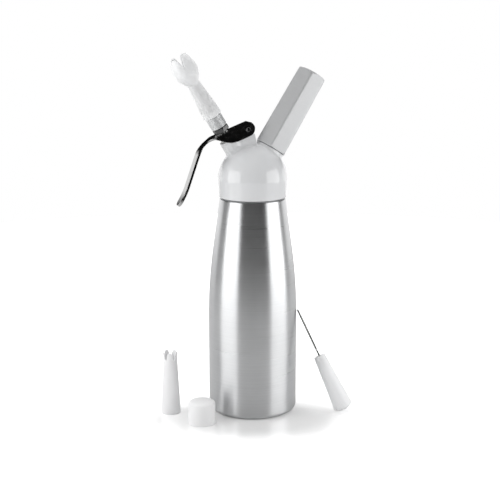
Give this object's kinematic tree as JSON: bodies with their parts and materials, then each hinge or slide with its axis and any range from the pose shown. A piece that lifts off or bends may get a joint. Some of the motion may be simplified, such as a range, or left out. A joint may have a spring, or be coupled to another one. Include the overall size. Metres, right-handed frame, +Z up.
{
  "type": "whipped cream dispenser",
  "caption": "Free-standing cream whipper: brushed metal bottle, domed white head, press lever, tulip nozzle, hexagonal charger holder, loose star nozzle, cap and brush.",
  "frame": {"origin": "centre of the bottle's flat base, on the surface it stands on", "axes": "+Z up along the bottle's axis; the lever and the fitted nozzle point to -X, the charger holder to +X"},
  "size_m": [0.1831, 0.0981, 0.3559],
  "materials": {
    "brushed_bottle": "circumferentially brushed",
    "satin_holder": "satin with fine cross brushing",
    "threaded_adaptor": "machined",
    "polished_lever": "mirror polished stainless sheet",
    "steel": "fine turned",
    "plated_brass": "nickel plated",
    "white_head": "glossy",
    "white_insert": "moulded",
    "white_cap": "satin",
    "milky_nozzle": "translucent white, satin",
    "silicone": "matt",
    "nylon": "thin clear strands"
  },
  "bodies": {
    "bottle": {"bottle": "brushed_bottle"},
    "head": {"head_cover": "white_head", "head_insert": "white_insert", "head_gasket": "silicone", "check_valve": "silicone", "valve_nut": "steel", "gas_port": "plated_brass", "piercing_pin": "steel", "port_gasket": "silicone", "lever_pin": "steel", "valve_spring": "steel"},
    "lever": {"lever": "polished_lever"},
    "stem": {"valve_stem": "steel", "valve_seal": "silicone", "seal_nut": "steel", "stem_ring": "silicone", "stem_collar": "steel", "tip_adaptor": "threaded_adaptor"},
    "nozzle": {"tulip_tip": "milky_nozzle"},
    "holder": {"charger_holder": "satin_holder", "gas_charger": "steel"},
    "spare_nozzle": {"star_tip": "milky_nozzle"},
    "cap": {"thread_cap": "white_cap"},
    "brush": {"brush_handle": "milky_nozzle", "brush_wire": "steel", "brush_bristles": "nylon"}
  },
  "joints": [
    {"name": "head_lift", "type": "slide", "parent": "bottle", "child": "head", "axis": [0, 0, 1], "range_m": [0, 0.05]},
    {"name": "lever_press", "type": "hinge", "parent": "head", "child": "lever", "pos_m": [-0.00758, 0, 0.28341], "axis": [0, -1, 0], "range_deg": [0, 9]},
    {"name": "stem_slide", "type": "slide", "parent": "head", "child": "stem", "axis": [0.524, 0, -0.8517], "range_m": [0, 0.0047], "deforming": ["valve_spring"]},
    {"name": "nozzle_unscrew", "type": "slide", "parent": "stem", "child": "nozzle", "axis": [-0.524, 0, 0.8517], "range_m": [0, 0.02]},
    {"name": "holder_unscrew", "type": "slide", "parent": "head", "child": "holder", "axis": [0.524, 0, 0.8517], "range_m": [0, 0.03]},
    {"name": "star_tip_lift", "type": "slide", "parent": "bottle", "child": "spare_nozzle", "axis": [0, 0, 1], "range_m": [0, 0.07]},
    {"name": "cap_lift", "type": "slide", "parent": "bottle", "child": "cap", "axis": [0, 0, 1], "range_m": [0, 0.03]},
    {"name": "brush_lift", "type": "slide", "parent": "bottle", "child": "brush", "axis": [0, 0, 1], "range_m": [0, 0.12]}
  ],
  "couplings": [
    {"joint": "stem_slide", "follows": "lever_press", "m_per_rad": 0.029417}
  ]
}
